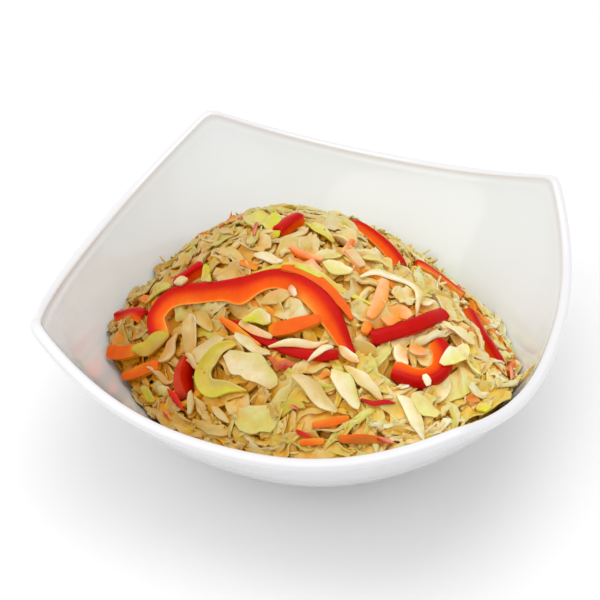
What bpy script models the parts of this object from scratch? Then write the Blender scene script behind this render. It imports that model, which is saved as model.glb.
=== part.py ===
# Coleslaw in a square porcelain bowl, in metres, +Z up, standing on z = 0.
# The bowl's sides run along X and Y and its centre is at x = y = 0.
import math
import random

import bmesh
import bpy
import numpy as np
from mathutils import Vector
from mathutils.bvhtree import BVHTree

MM = 0.001
SEED = 41

# Bowl: a square plan with bowed sides and raised corners
HALF_SIDE = 68 * MM
SIDE_BOW = 16 * MM
SIDE_BOW_POWER = 2.28
RIM_HEIGHT = 54.5 * MM
CORNER_RISE = 15.5 * MM
CORNER_RISE_POWER = 2.3
CORNER_SOFTNESS = 1.8 * MM
WALL = 3.5 * MM
LIP_PROUD = 0.6 * MM
LIP_DROP = 3.0 * MM
LIP_ROUND = 0.9 * MM
FOOT_RADIUS = 42 * MM
FOOT_HEIGHT = 3.4 * MM
FOOT_RING_INNER = 36 * MM
FOOT_CHAMFER = 0.8 * MM
FOOT_RECESS = 2.0 * MM
FLOOR_RADIUS = 38 * MM
FLOOR_HEIGHT = 6 * MM
WALL_FLARE_POWER = 1.25
WALL_FLARE_ROOT = 1 / 1.2
POINTS_PER_SIDE = 14
OUTLINE_REFINE = 8
WALL_RINGS = 9
LIP_BEVEL = 0.3 * LIP_ROUND
SHARP_ANGLE = math.radians(40)

# Heap: a dome above the line where the salad meets the inner wall
PEAK_HEIGHT = 76 * MM
PEAK_PLACE = (-6 * MM, -6 * MM)
DOME_POWER = 1.75
CORE_DROP = 4.0 * MM
GAP = 0.3 * MM
SIDE_GAP = 0.5 * MM
CORE_WALL_RINGS = 5
CORE_DOME_RINGS = 9
# Depth of that line under the middle of the rim, by the angle from +X in degrees
CONTACT_DEPTH = {
    -180: 23.5, -153: 17, -128: 22.5, -90: 17, -50: 11, -20: 4.5, 10: 21, 45: 29, 90: 27, 135: 22.5
}
CONTACT_SOFTNESS = 8 * MM

# Pepper strips: route on the heap in mm, wall and slice in mm, and the skin's turn from
# the strip's left side towards straight up, in degrees, at each end
PEPPERS = {
    "pepper_arch": {
        "route": [(-39, -38), (-43, -32), (-39, -27), (-28, -27), (-14, -27), (-2, -23), (12, -27),
                  (26, -38)],
        "wall": 7.2, "slice": 4.4, "skin_turn": (15, 15), "taper": (1.0, 0.45), "rib": (0.46, 2.6),
    },
    "pepper_bar": {
        "route": [(30, -32), (36, -27), (42, -20), (47, -9)],
        "wall": 5.0, "slice": 4.8, "skin_turn": (100, 85), "taper": (0.8, 1.0), "rib": None,
    },
    "pepper_curl": {
        "route": [(49, -23), (52, -26.5), (52.5, -32), (47.5, -37), (39, -37.5)],
        "wall": 5.6, "slice": 4.4, "skin_turn": (45, 10), "taper": (0.8, 0.8), "rib": None,
    },
    "pepper_arc": {
        "route": [(-16, -36), (-7, -39), (3, -41.5), (11, -42), (17, -41), (22, -39)],
        "wall": 3.2, "slice": 3.4, "skin_turn": (80, 100), "taper": (0.6, 0.7), "rib": None,
    },
    "pepper_back_right": {
        "route": [(4, 25), (12, 21), (20, 16), (28, 8)],
        "wall": 4.8, "slice": 4.4, "skin_turn": (40, 60), "taper": (0.6, 0.8), "rib": None,
    },
    "pepper_top": {
        "route": [(-11, -4), (-10, 3), (-8, 9)],
        "wall": 4.8, "slice": 4.4, "skin_turn": (90, 70), "taper": (0.8, 0.6), "rib": None,
    },
    "pepper_back_left": {
        "route": [(-41, -22), (-37, -19), (-33, -16)],
        "wall": 4.6, "slice": 4.2, "skin_turn": (80, 80), "taper": (0.6, 0.8), "rib": None,
    },
    "pepper_left": {
        "route": [(-64.5, -22), (-60, -23), (-55, -25.5), (-50, -28.5)],
        "wall": 4.4, "slice": 4.0, "skin_turn": (60, 20), "taper": (0.7, 0.8), "rib": None,
    },
    "pepper_wedge": {
        "route": [(-26, -45), (-26, -50), (-23, -55)],
        "wall": 5.4, "slice": 4.4, "skin_turn": (-60, -90), "taper": (1.0, 0.5), "rib": None,
    },
    "pepper_right": {
        "route": [(29, 22), (37, 25), (46, 23)],
        "wall": 4.6, "slice": 4.8, "skin_turn": (30, 10), "taper": (0.8, 1.0), "rib": None,
    },
    "pepper_edge": {
        "route": [(50, 17), (57, 5), (63, -5), (68, -10)],
        "wall": 4.0, "slice": 3.8, "skin_turn": (60, 90), "taper": (0.7, 0.6), "rib": None,
    },
}
STATION_SPACING = 4.5 * MM
CURVE_STEPS = 20
TAPER_RATE = 4
THINNEST_SLICE = 0.4
EDGE_START = 0.55
EDGE_HEIGHT = 0.5
RIB_SPREAD = 0.045
SETTLE_ROUNDS = 4
PEPPER_REST = 0.35 * MM

# Carrot sticks fused to the heap: middle on the heap in mm, heading in degrees, length in mm
CARROTS = [
    (-53, -38, -10, 24), (-44, -47, 0, 22), (5, -35, 15, 26), (18, -23, -40, 24), (-16, -39, -25, 16),
    (-6, -60, 10, 30), (14, -62, -5, 26), (30, 8, 60, 20), (26, -18, 80, 18), (-14, -8, -20, 18),
]
CARROT_WIDTH = 4.6 * MM
CARROT_THICK = 3.0 * MM
CARROT_SINK = 0.35
CARROT_TWIST = 0.3
CARROT_TRIES = (1.0, 0.75, 0.55)

# Cabbage shreds fused to the heap
SHRED_COUNT = 118
SHRED_LENGTH = (17 * MM, 31 * MM)
SHRED_WIDTH = (5 * MM, 9 * MM)
SHRED_THICK = (1.0 * MM, 1.7 * MM)
SHRED_TILT = (0.0, 0.36)
SHRED_ARCH = (0.5 * MM, 3.2 * MM)
SHRED_WAVE = 1.5 * MM
SHRED_TWIST = 0.9
SHRED_LIFT = 0.5 * MM
SHRED_STATIONS = 5
SHRED_REACH = 0.95
SHRED_END_WIDTH = 0.45
SHRED_RISE = 0.3
SHRED_TRIES = (1.0, 0.8, 0.62, 0.48)
HEADING_TRIES = 4
EDGE_ALIGNMENT = 0.85
PIECE_CLEARANCE = 0.6 * MM
ABOVE_ALL = 1.0

COLOURS = {
    "porcelain": ((0.86, 0.87, 0.85, 1), 0.12),
    "cabbage": ((0.78, 0.66, 0.32, 1), 0.35),
    "pepper": ((0.62, 0.035, 0.012, 1), 0.25),
}


def clear_scene():
    for item in list(bpy.data.objects):
        bpy.data.objects.remove(item, do_unlink=True)


def material(name):
    colour, roughness = COLOURS[name]
    made = bpy.data.materials.new(name)
    made.use_nodes = True
    shader = made.node_tree.nodes["Principled BSDF"]
    shader.inputs["Base Color"].default_value = colour
    shader.inputs["Roughness"].default_value = roughness
    shader.inputs["Metallic"].default_value = 0.0
    return made


def new_object(name, vertices, faces, finish):
    mesh = bpy.data.meshes.new(name)
    mesh.from_pydata([tuple(v) for v in vertices], [], faces)
    mesh.validate()
    mesh.materials.append(finish)
    body = bpy.data.objects.new(name, mesh)
    bpy.context.scene.collection.objects.link(body)
    return body


def point_outwards(body):
    shell = bmesh.new()
    shell.from_mesh(body.data)
    bmesh.ops.recalc_face_normals(shell, faces=shell.faces)
    if shell.calc_volume(signed=True) < 0:
        bmesh.ops.reverse_faces(shell, faces=shell.faces)
    bmesh.ops.triangulate(shell, faces=shell.faces)
    shell.to_mesh(body.data)
    shell.free()


def rings_to_solid(name, rings, finish, first_cap=None, last_cap=None):
    """A closed solid through rings of equal count; a cap is a point, or None for a flat face."""
    count = len(rings[0])
    vertices = [tuple(p) for ring in rings for p in ring]
    faces = []
    for level in range(len(rings) - 1):
        low = level * count
        high = low + count
        for i in range(count):
            j = (i + 1) % count
            faces.append((low + i, low + j, high + j, high + i))
    for cap, start in ((first_cap, 0), (last_cap, (len(rings) - 1) * count)):
        if cap is None:
            faces.append(tuple(start + i for i in range(count)))
            continue
        vertices.append(tuple(cap))
        tip = len(vertices) - 1
        for i in range(count):
            faces.append((start + i, start + (i + 1) % count, tip))
    body = new_object(name, vertices, faces, finish)
    point_outwards(body)
    return body


def soften_loop(values, spacing, softness):
    """Average a closed loop of values with a bell-shaped weight, softness being its width."""
    reach = int(4 * softness / spacing) + 1
    total = np.zeros_like(values)
    weights = 0.0
    for step in range(-reach, reach + 1):
        weight = math.exp(-0.5 * (step * spacing / softness) ** 2)
        total += weight * np.roll(values, step, 0)
        weights += weight
    return total / weights


def rim_outline():
    """Points round the rim's outer edge, side after side, corner points included."""
    per_side = POINTS_PER_SIDE * OUTLINE_REFINE
    along = np.linspace(-1, 1, per_side + 1)[:-1]
    out = HALF_SIDE + SIDE_BOW * (1 - np.abs(along) ** SIDE_BOW_POWER)
    height = RIM_HEIGHT + CORNER_RISE * np.abs(along) ** CORNER_RISE_POWER
    sides = []
    for turn in range(4):
        c = round(math.cos(turn * math.pi / 2))
        s = round(math.sin(turn * math.pi / 2))
        x = out * c - along * HALF_SIDE * s
        y = out * s + along * HALF_SIDE * c
        sides.append(np.stack([x, y, height], 1))
    outline = np.concatenate(sides)
    outline = soften_loop(outline, 2 * HALF_SIDE / per_side, CORNER_SOFTNESS)
    return outline[::OUTLINE_REFINE]


def inset(outline, distance):
    """Move points of an outline towards the bowl's axis."""
    radius = np.hypot(outline[:, 0], outline[:, 1])
    moved = outline.copy()
    moved[:, :2] *= ((radius - distance) / radius)[:, None]
    return moved


def wall_ring(rim, start_radius, start_height, share):
    """Points part way up the wall that flares from a circle to the rim; share may be an array."""
    share = np.broadcast_to(share, (len(rim),))
    angle = np.arctan2(rim[:, 1], rim[:, 0])
    circle = start_radius * np.stack([np.cos(angle), np.sin(angle)], 1)
    flare = (1 - (1 - share) ** WALL_FLARE_POWER) ** WALL_FLARE_ROOT
    plan = circle + (rim[:, :2] - circle) * flare[:, None]
    height = start_height + (rim[:, 2] - start_height) * share
    return np.column_stack([plan, height])


def circle_ring(outline, radius, height):
    angle = np.arctan2(outline[:, 1], outline[:, 0])
    return np.column_stack([radius * np.cos(angle), radius * np.sin(angle), np.full(len(angle), height)])


def lip_ring(outline, distance, drop):
    ring = inset(outline, distance)
    ring[:, 2] -= drop
    return ring


def make_bowl(outline, finish):
    outer_rim = inset(outline, LIP_PROUD)
    inner_rim = inset(outline, WALL)
    wall_end = 1 - LIP_DROP / (RIM_HEIGHT - FOOT_HEIGHT)
    inner_end = 1 - LIP_ROUND / (RIM_HEIGHT - FLOOR_HEIGHT)
    rings = [
        circle_ring(outline, FOOT_RING_INNER - FOOT_CHAMFER, FOOT_RECESS),
        circle_ring(outline, FOOT_RING_INNER, 0),
        circle_ring(outline, FOOT_RADIUS - FOOT_CHAMFER, 0),
        circle_ring(outline, FOOT_RADIUS, FOOT_CHAMFER),
    ]
    for share in np.linspace(0, wall_end, WALL_RINGS):
        rings.append(wall_ring(outer_rim, FOOT_RADIUS, FOOT_HEIGHT, share))
    rings += [
        lip_ring(outline, 0, LIP_DROP - LIP_PROUD),
        lip_ring(outline, 0, LIP_ROUND),
        lip_ring(outline, LIP_BEVEL, LIP_BEVEL),
        lip_ring(outline, LIP_ROUND, 0),
        lip_ring(outline, WALL - LIP_ROUND, 0),
        lip_ring(outline, WALL - LIP_BEVEL, LIP_BEVEL),
    ]
    for share in np.linspace(inner_end, 0, WALL_RINGS + 2):
        rings.append(wall_ring(inner_rim, FLOOR_RADIUS, FLOOR_HEIGHT, share))
    underside = (0, 0, FOOT_RECESS)
    floor = (0, 0, FLOOR_HEIGHT)
    body = rings_to_solid("bowl", rings, finish, underside, floor)
    body.data.shade_smooth()
    body.data.set_sharp_from_angle(angle=SHARP_ANGLE)
    return body


class Heap:
    """The salad's dome over the inner wall, lowered by a drop; each column follows one rim point."""

    def __init__(self, outline, drop):
        self.rim = inset(outline, WALL + SIDE_GAP)
        self.angle = np.arctan2(self.rim[:, 1], self.rim[:, 0])
        depth = np.interp(
            np.degrees(self.angle), list(CONTACT_DEPTH), list(CONTACT_DEPTH.values()), period=360
        )
        depth = soften_loop(depth * MM, 2 * HALF_SIDE / POINTS_PER_SIDE, CONTACT_SOFTNESS)
        self.floor = FLOOR_HEIGHT + GAP
        self.share = (RIM_HEIGHT - depth - drop - self.floor) / (self.rim[:, 2] - self.floor)
        self.peak = np.array([*PEAK_PLACE, PEAK_HEIGHT - drop])
        self.base = self.wall(1.0)

    def wall(self, part):
        return wall_ring(self.rim, FLOOR_RADIUS - SIDE_GAP, self.floor, self.share * part)

    def dome(self, reach):
        plan = self.peak[:2] + (self.base[:, :2] - self.peak[:2]) * reach
        height = self.base[:, 2] + (self.peak[2] - self.base[:, 2]) * (1 - reach ** DOME_POWER)
        return np.column_stack([plan, height])

    def point(self, turn, reach):
        """A place on the dome, by the angle of its column and its reach from the peak, 0 to 1."""
        ring = self.dome(reach)
        return Vector([float(np.interp(turn, self.angle, axis, period=2 * math.pi)) for axis in ring.T])


def make_core(heap, finish):
    rings = [heap.wall(part) for part in np.linspace(0, 1, CORE_WALL_RINGS)]
    for reach in np.linspace(1, 0, CORE_DOME_RINGS + 1)[1:-1]:
        rings.append(heap.dome(reach))
    return rings_to_solid("coleslaw", rings, finish, (0, 0, heap.floor), heap.peak)


def tree_of(body):
    corners = [v.co.copy() for v in body.data.vertices]
    return BVHTree.FromPolygons(corners, [tuple(p.vertices) for p in body.data.polygons])


def surface_below(tree, x, y):
    """Height and upward normal of a surface at a place in plan."""
    hit, normal, _, _ = tree.ray_cast(Vector((x, y, ABOVE_ALL)), Vector((0, 0, -1)))
    return (hit.z, normal) if hit is not None else (None, None)


def curve_through(points, spacing):
    """Evenly spaced places along a smooth curve through a few points in plan."""
    ends = [2 * points[0] - points[1]] + list(points) + [2 * points[-1] - points[-2]]
    dense = []
    for a, b, c, d in zip(ends, ends[1:], ends[2:], ends[3:]):
        for t in np.linspace(0, 1, CURVE_STEPS, endpoint=False):
            square = 2 * a - 5 * b + 4 * c - d
            cube = 3 * b - a - 3 * c + d
            dense.append(0.5 * (2 * b + (c - a) * t + square * t**2 + cube * t**3))
    dense.append(points[-1])
    dense = np.array(dense)
    along = np.concatenate([[0], np.cumsum(np.linalg.norm(np.diff(dense, axis=0), axis=1))])
    count = max(4, round(along[-1] / spacing) + 1)
    places = np.linspace(0, along[-1], count)
    return np.column_stack([np.interp(places, along, dense[:, k]) for k in range(2)])


def strip_sections(places, ups, spec):
    """Rings of a pepper strip: a slice whose skin side has rounded edges."""
    count = len(places)
    rings = []
    for i in range(count):
        part = i / (count - 1)
        before = places[max(i - 1, 0)]
        after = places[min(i + 1, count - 1)]
        ahead = (after - before).normalized()
        left = ups[i].cross(ahead).normalized()
        up = ahead.cross(left)
        turn = math.radians(spec["skin_turn"][0] * (1 - part) + spec["skin_turn"][1] * part)
        to_skin = left * math.cos(turn) + up * math.sin(turn)
        to_cut = ahead.cross(to_skin) * -1
        start, end = spec["taper"]
        narrow = min(1.0, start + TAPER_RATE * part, end + TAPER_RATE * (1 - part))
        wall = 0.5 * spec["wall"] * MM * narrow
        half = 0.5 * spec["slice"] * MM * (THINNEST_SLICE + (1 - THINNEST_SLICE) * narrow)
        flesh = wall
        if spec["rib"]:
            place, height = spec["rib"]
            flesh += height * MM * math.exp(-((part - place) / RIB_SPREAD) ** 2)
        outline = [(-flesh, -half), (EDGE_START * wall, -half), (wall, -EDGE_HEIGHT * half),
                   (wall, EDGE_HEIGHT * half), (EDGE_START * wall, half), (-flesh, half)]
        rings.append([places[i] + to_skin * a + to_cut * b for a, b in outline])
    return rings


def make_pepper(name, spec, core_tree, finish):
    """A strip laid along its route, each stretch lifted until it clears the bare core.

    Past the core's edge it sticks out level from the last place that carries it.
    """
    route = [np.array(p) * MM for p in spec["route"]]
    plan = curve_through(route, STATION_SPACING)
    found = [surface_below(core_tree, x, y) for x, y in plan]
    height, normal = next(f for f in found if f[0] is not None)
    places = []
    ups = []
    for (x, y), (below, facing) in zip(plan, found):
        if below is not None:
            height, normal = below, facing
        places.append(Vector((x, y, height)))
        ups.append(normal)
    for _ in range(SETTLE_ROUNDS):
        rings = strip_sections(places, ups, spec)
        lifts = []
        for ring in rings:
            heights = [(surface_below(core_tree, corner.x, corner.y)[0], corner.z) for corner in ring]
            clear = [below + PEPPER_REST - z for below, z in heights if below is not None]
            lifts.append(max(clear, default=0))
        for i, place in enumerate(places):
            place.z += max(lifts[max(i - 1, 0):i + 2])
    return rings_to_solid(name, strip_sections(places, ups, spec), finish)


def shred_rings(start, ahead, up, length, width, thick, arch, wave, twist):
    """A thin wavy leaf strip: four corners a station, narrower at its ends."""
    left = up.cross(ahead).normalized()
    rings = []
    for i in range(SHRED_STATIONS):
        part = i / (SHRED_STATIONS - 1)
        rise = arch * math.sin(math.pi * part)
        sway = wave * math.sin(2 * math.pi * part)
        middle = start + ahead * (length * (part - 0.5)) + up * rise + left * sway
        lean = twist * (part - 0.5)
        side = left * math.cos(lean) + up * math.sin(lean)
        face = up * math.cos(lean) - left * math.sin(lean)
        half = 0.5 * width * (SHRED_END_WIDTH + (1 - SHRED_END_WIDTH) * math.sin(math.pi * part))
        rings.append([middle + side * (half * a) + face * (0.5 * thick * b)
                      for a, b in ((-1, -1), (1, -1), (1, 1), (-1, 1))])
    return rings


def inside_bowl(heap, point):
    """Whether a point is clear of the inner wall, or of its rim's plan where it is higher."""
    turn = math.atan2(point.y, point.x)
    column = int(np.argmin(np.abs(np.angle(np.exp(1j * (heap.angle - turn))))))
    rim = heap.rim[column]
    share = min(1.0, max(0.0, (point.z - heap.floor) / (rim[2] - heap.floor)))
    flare = (1 - (1 - share) ** WALL_FLARE_POWER) ** WALL_FLARE_ROOT
    start = FLOOR_RADIUS - SIDE_GAP
    limit = start + (math.hypot(rim[0], rim[1]) - start) * flare
    return math.hypot(point.x, point.y) < limit - PIECE_CLEARANCE


def piece_fits(rings, heap, peppers):
    """Whether a piece keeps clear of the bowl and of every pepper strip."""
    corners = [corner for ring in rings for corner in ring]
    middles = [(a + b) / 2 for low, high in zip(rings, rings[1:]) for a, b in zip(low, high)]
    if not all(inside_bowl(heap, p) for p in corners + middles):
        return False
    count = len(rings[0])
    faces = []
    for low in range(0, len(corners) - count, count):
        for j in range(count):
            after = (j + 1) % count
            faces.append((low + j, low + after, low + count + after, low + count + j))
    piece = BVHTree.FromPolygons(corners, faces)
    for pepper, tree in peppers:
        if piece.overlap(tree):
            return False
        for p in corners + middles:
            if tree.find_nearest(p, PIECE_CLEARANCE)[0] is not None:
                return False
        for v in pepper.data.vertices:
            if piece.find_nearest(v.co, PIECE_CLEARANCE)[0] is not None:
                return False
    return True


def laid_flat(heading, up):
    """A unit direction along a surface, from a heading in plan."""
    ahead = Vector((math.cos(heading), math.sin(heading), 0))
    return (ahead - up * ahead.dot(up)).normalized()


def carrot_rings(spot, core_tree, shorter):
    x, y, heading, length = spot
    height, up = surface_below(core_tree, x * MM, y * MM)
    middle = Vector((x * MM, y * MM, height)) + up * (CARROT_SINK * CARROT_THICK)
    ahead = laid_flat(math.radians(heading), up)
    return shred_rings(middle, ahead, up, length * MM * shorter, CARROT_WIDTH, CARROT_THICK,
                       0, 0, CARROT_TWIST)


def cabbage_rings(shred, core_tree, place, heading, shorter):
    height, up = surface_below(core_tree, place.x, place.y)
    ahead = laid_flat(heading, up)
    raised = ahead * math.cos(shred["tilt"]) + up * math.sin(shred["tilt"])
    face = up * math.cos(shred["tilt"]) - ahead * math.sin(shred["tilt"])
    length = shred["length"] * shorter
    middle = Vector((place.x, place.y, height)) + up * SHRED_LIFT
    middle += raised * (SHRED_RISE * length * math.sin(shred["tilt"]))
    return shred_rings(middle, raised, face, length, shred["width"] * math.sqrt(shorter), shred["thick"],
                       shred["arch"] * shorter, shred["wave"], shred["twist"])


def fused_pieces(heap, core_tree, peppers, group):
    """Carrot sticks and cabbage shreds laid on the core, kept as loose solids in a collection."""
    draw = random.Random(SEED)

    def keep_first_fit(choices):
        for rings in choices:
            if piece_fits(rings, heap, peppers):
                body = rings_to_solid("piece", rings, None)
                bpy.context.scene.collection.objects.unlink(body)
                group.objects.link(body)
                return

    for spot in CARROTS:
        keep_first_fit(carrot_rings(spot, core_tree, shorter) for shorter in CARROT_TRIES)

    golden = math.pi * (3 - math.sqrt(5))
    for i in range(SHRED_COUNT):
        reach = SHRED_REACH * math.sqrt((i + 0.5) / SHRED_COUNT)
        turn = (i * golden + math.pi) % (2 * math.pi) - math.pi
        place = heap.point(turn, reach)
        freedom = math.pi * (1 - EDGE_ALIGNMENT * reach**3)
        headings = [turn + math.pi / 2 + draw.uniform(-1, 1) * freedom for _ in range(HEADING_TRIES)]
        shred = {
            "length": draw.uniform(*SHRED_LENGTH),
            "width": draw.uniform(*SHRED_WIDTH),
            "thick": draw.uniform(*SHRED_THICK),
            "tilt": draw.uniform(*SHRED_TILT),
            "arch": draw.uniform(*SHRED_ARCH),
            "wave": draw.uniform(-1, 1) * SHRED_WAVE,
            "twist": draw.uniform(-1, 1) * SHRED_TWIST,
        }
        keep_first_fit(
            cabbage_rings(shred, core_tree, place, heading, shorter)
            for shorter in SHRED_TRIES for heading in headings
        )


def keep_largest_shell(body):
    """Leave only the outer shell, so that no scrap or sealed hollow remains."""
    shell = bmesh.new()
    shell.from_mesh(body.data)
    groups = []
    for first in shell.faces:
        if first.tag:
            continue
        first.tag = True
        group = [first]
        for face in group:
            for edge in face.edges:
                for other in edge.link_faces:
                    if not other.tag:
                        other.tag = True
                        group.append(other)
        groups.append(group)
    groups.sort(key=len)
    for group in groups[:-1]:
        bmesh.ops.delete(shell, geom=group, context="FACES")
    loose = [v for v in shell.verts if not v.link_faces]
    bmesh.ops.delete(shell, geom=loose, context="VERTS")
    shell.to_mesh(body.data)
    shell.free()


def fuse(body, group):
    union = body.modifiers.new("fuse", "BOOLEAN")
    union.operation = "UNION"
    union.operand_type = "COLLECTION"
    union.collection = group
    union.solver = "EXACT"
    depsgraph = bpy.context.evaluated_depsgraph_get()
    fused = bpy.data.meshes.new_from_object(body.evaluated_get(depsgraph))
    body.modifiers.clear()
    body.data = fused
    for piece in list(group.objects):
        bpy.data.objects.remove(piece, do_unlink=True)
    bpy.data.collections.remove(group)
    keep_largest_shell(body)


def main():
    clear_scene()
    outline = rim_outline()
    make_bowl(outline, material("porcelain"))
    cabbage = material("cabbage")
    heap = Heap(outline, CORE_DROP)
    core = make_core(heap, cabbage)
    core_tree = tree_of(core)
    pepper_finish = material("pepper")
    peppers = []
    for name, spec in PEPPERS.items():
        strip = make_pepper(name, spec, core_tree, pepper_finish)
        peppers.append((strip, tree_of(strip)))
    group = bpy.data.collections.new("pieces")
    bpy.context.scene.collection.children.link(group)
    fused_pieces(heap, core_tree, peppers, group)
    fuse(core, group)


main()
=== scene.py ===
# The looks of the coleslaw bowl: glazed porcelain, a pile of shreds and strips of red pepper
import math

import bpy
import numpy as np
from mathutils import Matrix, Vector


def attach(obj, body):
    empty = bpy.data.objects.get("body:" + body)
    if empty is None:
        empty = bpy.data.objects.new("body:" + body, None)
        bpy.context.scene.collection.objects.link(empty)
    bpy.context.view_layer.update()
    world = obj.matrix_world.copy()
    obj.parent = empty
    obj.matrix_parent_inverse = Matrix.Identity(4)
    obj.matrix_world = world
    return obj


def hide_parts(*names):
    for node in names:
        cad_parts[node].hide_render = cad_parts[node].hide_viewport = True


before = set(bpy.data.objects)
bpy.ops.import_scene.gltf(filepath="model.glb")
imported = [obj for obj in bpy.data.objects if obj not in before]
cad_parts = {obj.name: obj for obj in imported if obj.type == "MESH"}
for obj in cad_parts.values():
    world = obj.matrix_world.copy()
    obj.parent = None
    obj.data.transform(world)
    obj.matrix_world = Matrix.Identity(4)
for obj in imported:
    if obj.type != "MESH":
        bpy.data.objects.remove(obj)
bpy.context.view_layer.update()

MM = 0.001

# Bowl, the sizes that the frame's bowl has
HALF_SIDE = 68 * MM
SIDE_BOW = 16 * MM
SIDE_BOW_POWER = 2.28
RIM_HEIGHT = 54.5 * MM
CORNER_RISE = 15.5 * MM
CORNER_RISE_POWER = 2.3
CORNER_SOFTNESS = 1.8 * MM
WALL = 3.5 * MM
LIP_PROUD = 0.6 * MM
LIP_DROP = 3.0 * MM
FOOT_RADIUS = 42 * MM
FOOT_HEIGHT = 3.4 * MM
FOOT_RING_INNER = 36 * MM
FOOT_RECESS = 2.0 * MM
FLOOR_RADIUS = 38 * MM
FLOOR_HEIGHT = 6 * MM
FLARE_POWER = 1.25
FLARE_ROOT = 1 / 1.2
FOOT_ROUND = 0.8 * MM
CROWN = 1.3 * MM
CROWN_POWER = 0.8
SIDE_POINTS = 48
WALL_RINGS = 44
RING_SPACING_POWER = 1.15
BOWL_CREASE = math.radians(60)

# Salad: the outline of the frame's heap, with the depth of its edge below the rim, in degrees and mm
PEAK_HEIGHT = 76 * MM
PEAK_PLACE = (-6 * MM, -6 * MM)
DOME_POWER = 1.75
CORE_DROP = 4.0 * MM
CONTACT_DEPTH = {
    -180: 23.5, -153: 17, -128: 22.5, -90: 17, -50: 11, -20: 4.5, 10: 21, 45: 29, 90: 27, 135: 22.5
}
CONTACT_SOFTNESS = 8 * MM
HEAP_GAP = 0.5 * MM
HEAP_LIFT = 0.3 * MM
CORE_RELIEF = 0.3 * MM
CORE_WALL_RINGS = 8
CORE_DOME_RINGS = 70
HIGHEST = 76.5 * MM

# Height map on which the shreds come to rest; shares of the way from the peak to the salad's edge
CELL = 0.5 * MM
REACH_X = 82 * MM
REACH_Y = 80 * MM
NOTHING = -1
OUTSIDE = 1.0
WALL_CLEARANCE = 0.3 * MM
EDGE_FROM = 0.9
WITHIN_REACH = 1.03
AIM_REACH = 1.045
EDGE_DEPTH = 0.8 * MM
STEEPEST = 1.6
HOLLOW_RADII = (1.5 * MM, 3.0 * MM)
HOLLOW_TURNS = 8
HOLLOW_FROM = 0.2
HOLLOW_FLOOR = 0.1 * MM

# Shreds: how many are tried, the share of each sort, and sizes in mm
SEED = 7
TRIED, TRIED_QUICK = 2800, 700
EDGE_TRIED, EDGE_TRIED_QUICK = 700, 120
AT_EDGE = 0.22
EDGE_WANDER, WALL_WANDER = 0.5, 0.4
SMALL_AT_EDGE, SMALL_INSIDE, SMALL_ON_TOP = 0.3, 0.04, 0.1
STRIPS = 0.4
CARROTS_UP_TO, RED_UP_TO = 0.045, 0.056
GREEN_UP_TO, WHITE_UP_TO = 0.34, 0.60
SMALL_LENGTH, SMALL_WIDTH = (4, 10), (1.6, 3.6)
STRIP_LENGTH, STRIP_WIDTH = (14, 28), (2.2, 4.0)
LEAF_LENGTH, LEAF_WIDTH = (12, 24), (4.5, 10.0)
WALL_LENGTH, WALL_WIDTH = (4, 9), (2.0, 4.4)
CARROT_WIDTH, CARROT_THICK = (2.2, 3.8), (1.4, 2.4)
STRIP_THICK, LEAF_THICK, WALL_THICK = (1.0, 1.6), (0.8, 1.3), (0.8, 1.4)
ENOUGH, WALL_ENOUGH = 0.25 * MM, -0.9 * MM
OVER_MOST = 2.4 * MM
OUTSIDE_MOST = 0.3
SINK, LIMP, SAG_MOST = 0.45, 0.6, 3 * MM
STEEPEST_REST = 1.8
FILM, SHOWN_FILM = 0.15 * MM, 0.2 * MM
UNDER_STRIPS = 0.3 * MM
SHRED_CREASE = math.radians(55)
# How far a solid shred thins towards its sides and ends, each with its power
CUT_STICK = (0.12, 3, 0.25, 12)
THIN_LEAF = (0.55, 3, 0.4, 6)

# Painted light and shade: the salad is darker on its left as the camera sees it (a painted shadow of the bowl's
# wall), paler on its right (painted light), and amber where it is closed in between shreds (painted shade)
HOLLOW_SHADE_STRENGTH = 1.7
LEFT_PAINTED_SHADOW = (0.64, 0.53, 0.38)
LEFT_CARROT_SHADOW = (0.84, 0.84, 0.80)
LEFT_PLACES, LEFT_SHARES = (-60 * MM, -25 * MM, 25 * MM), (1, 0.45, 0)
RIGHT_PAINTED_LIGHT = (1.06, 1.10, 1.18)
RIGHT_PLACES = (5 * MM, 50 * MM)

# The photograph's view
AZIMUTH = math.radians(19.8)
ELEVATION = math.radians(38.7)
DISTANCE = 431 * MM
LENS = 76.7
SENSOR = 36
SHIFT = (-0.0232, -0.0327)

# Studio: name, place, size and power of each light; all look at the salad
LIGHTS = [
    ("key", (-0.55, -0.65, 0.95), 1.6, 4.8),
    ("fill", (0.9, -0.35, 0.6), 1.2, 0.7),
    ("top", (0.05, 0.1, 1.3), 1.0, 5.2),
]
LIGHTS_AIM = (0, 0, 0.05)
WORLD_STRENGTH = 0.8
FLOOR_HALF = 3
FLOOR_TONE = 0.87
FLOOR_ROUGHNESS = 0.6

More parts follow.
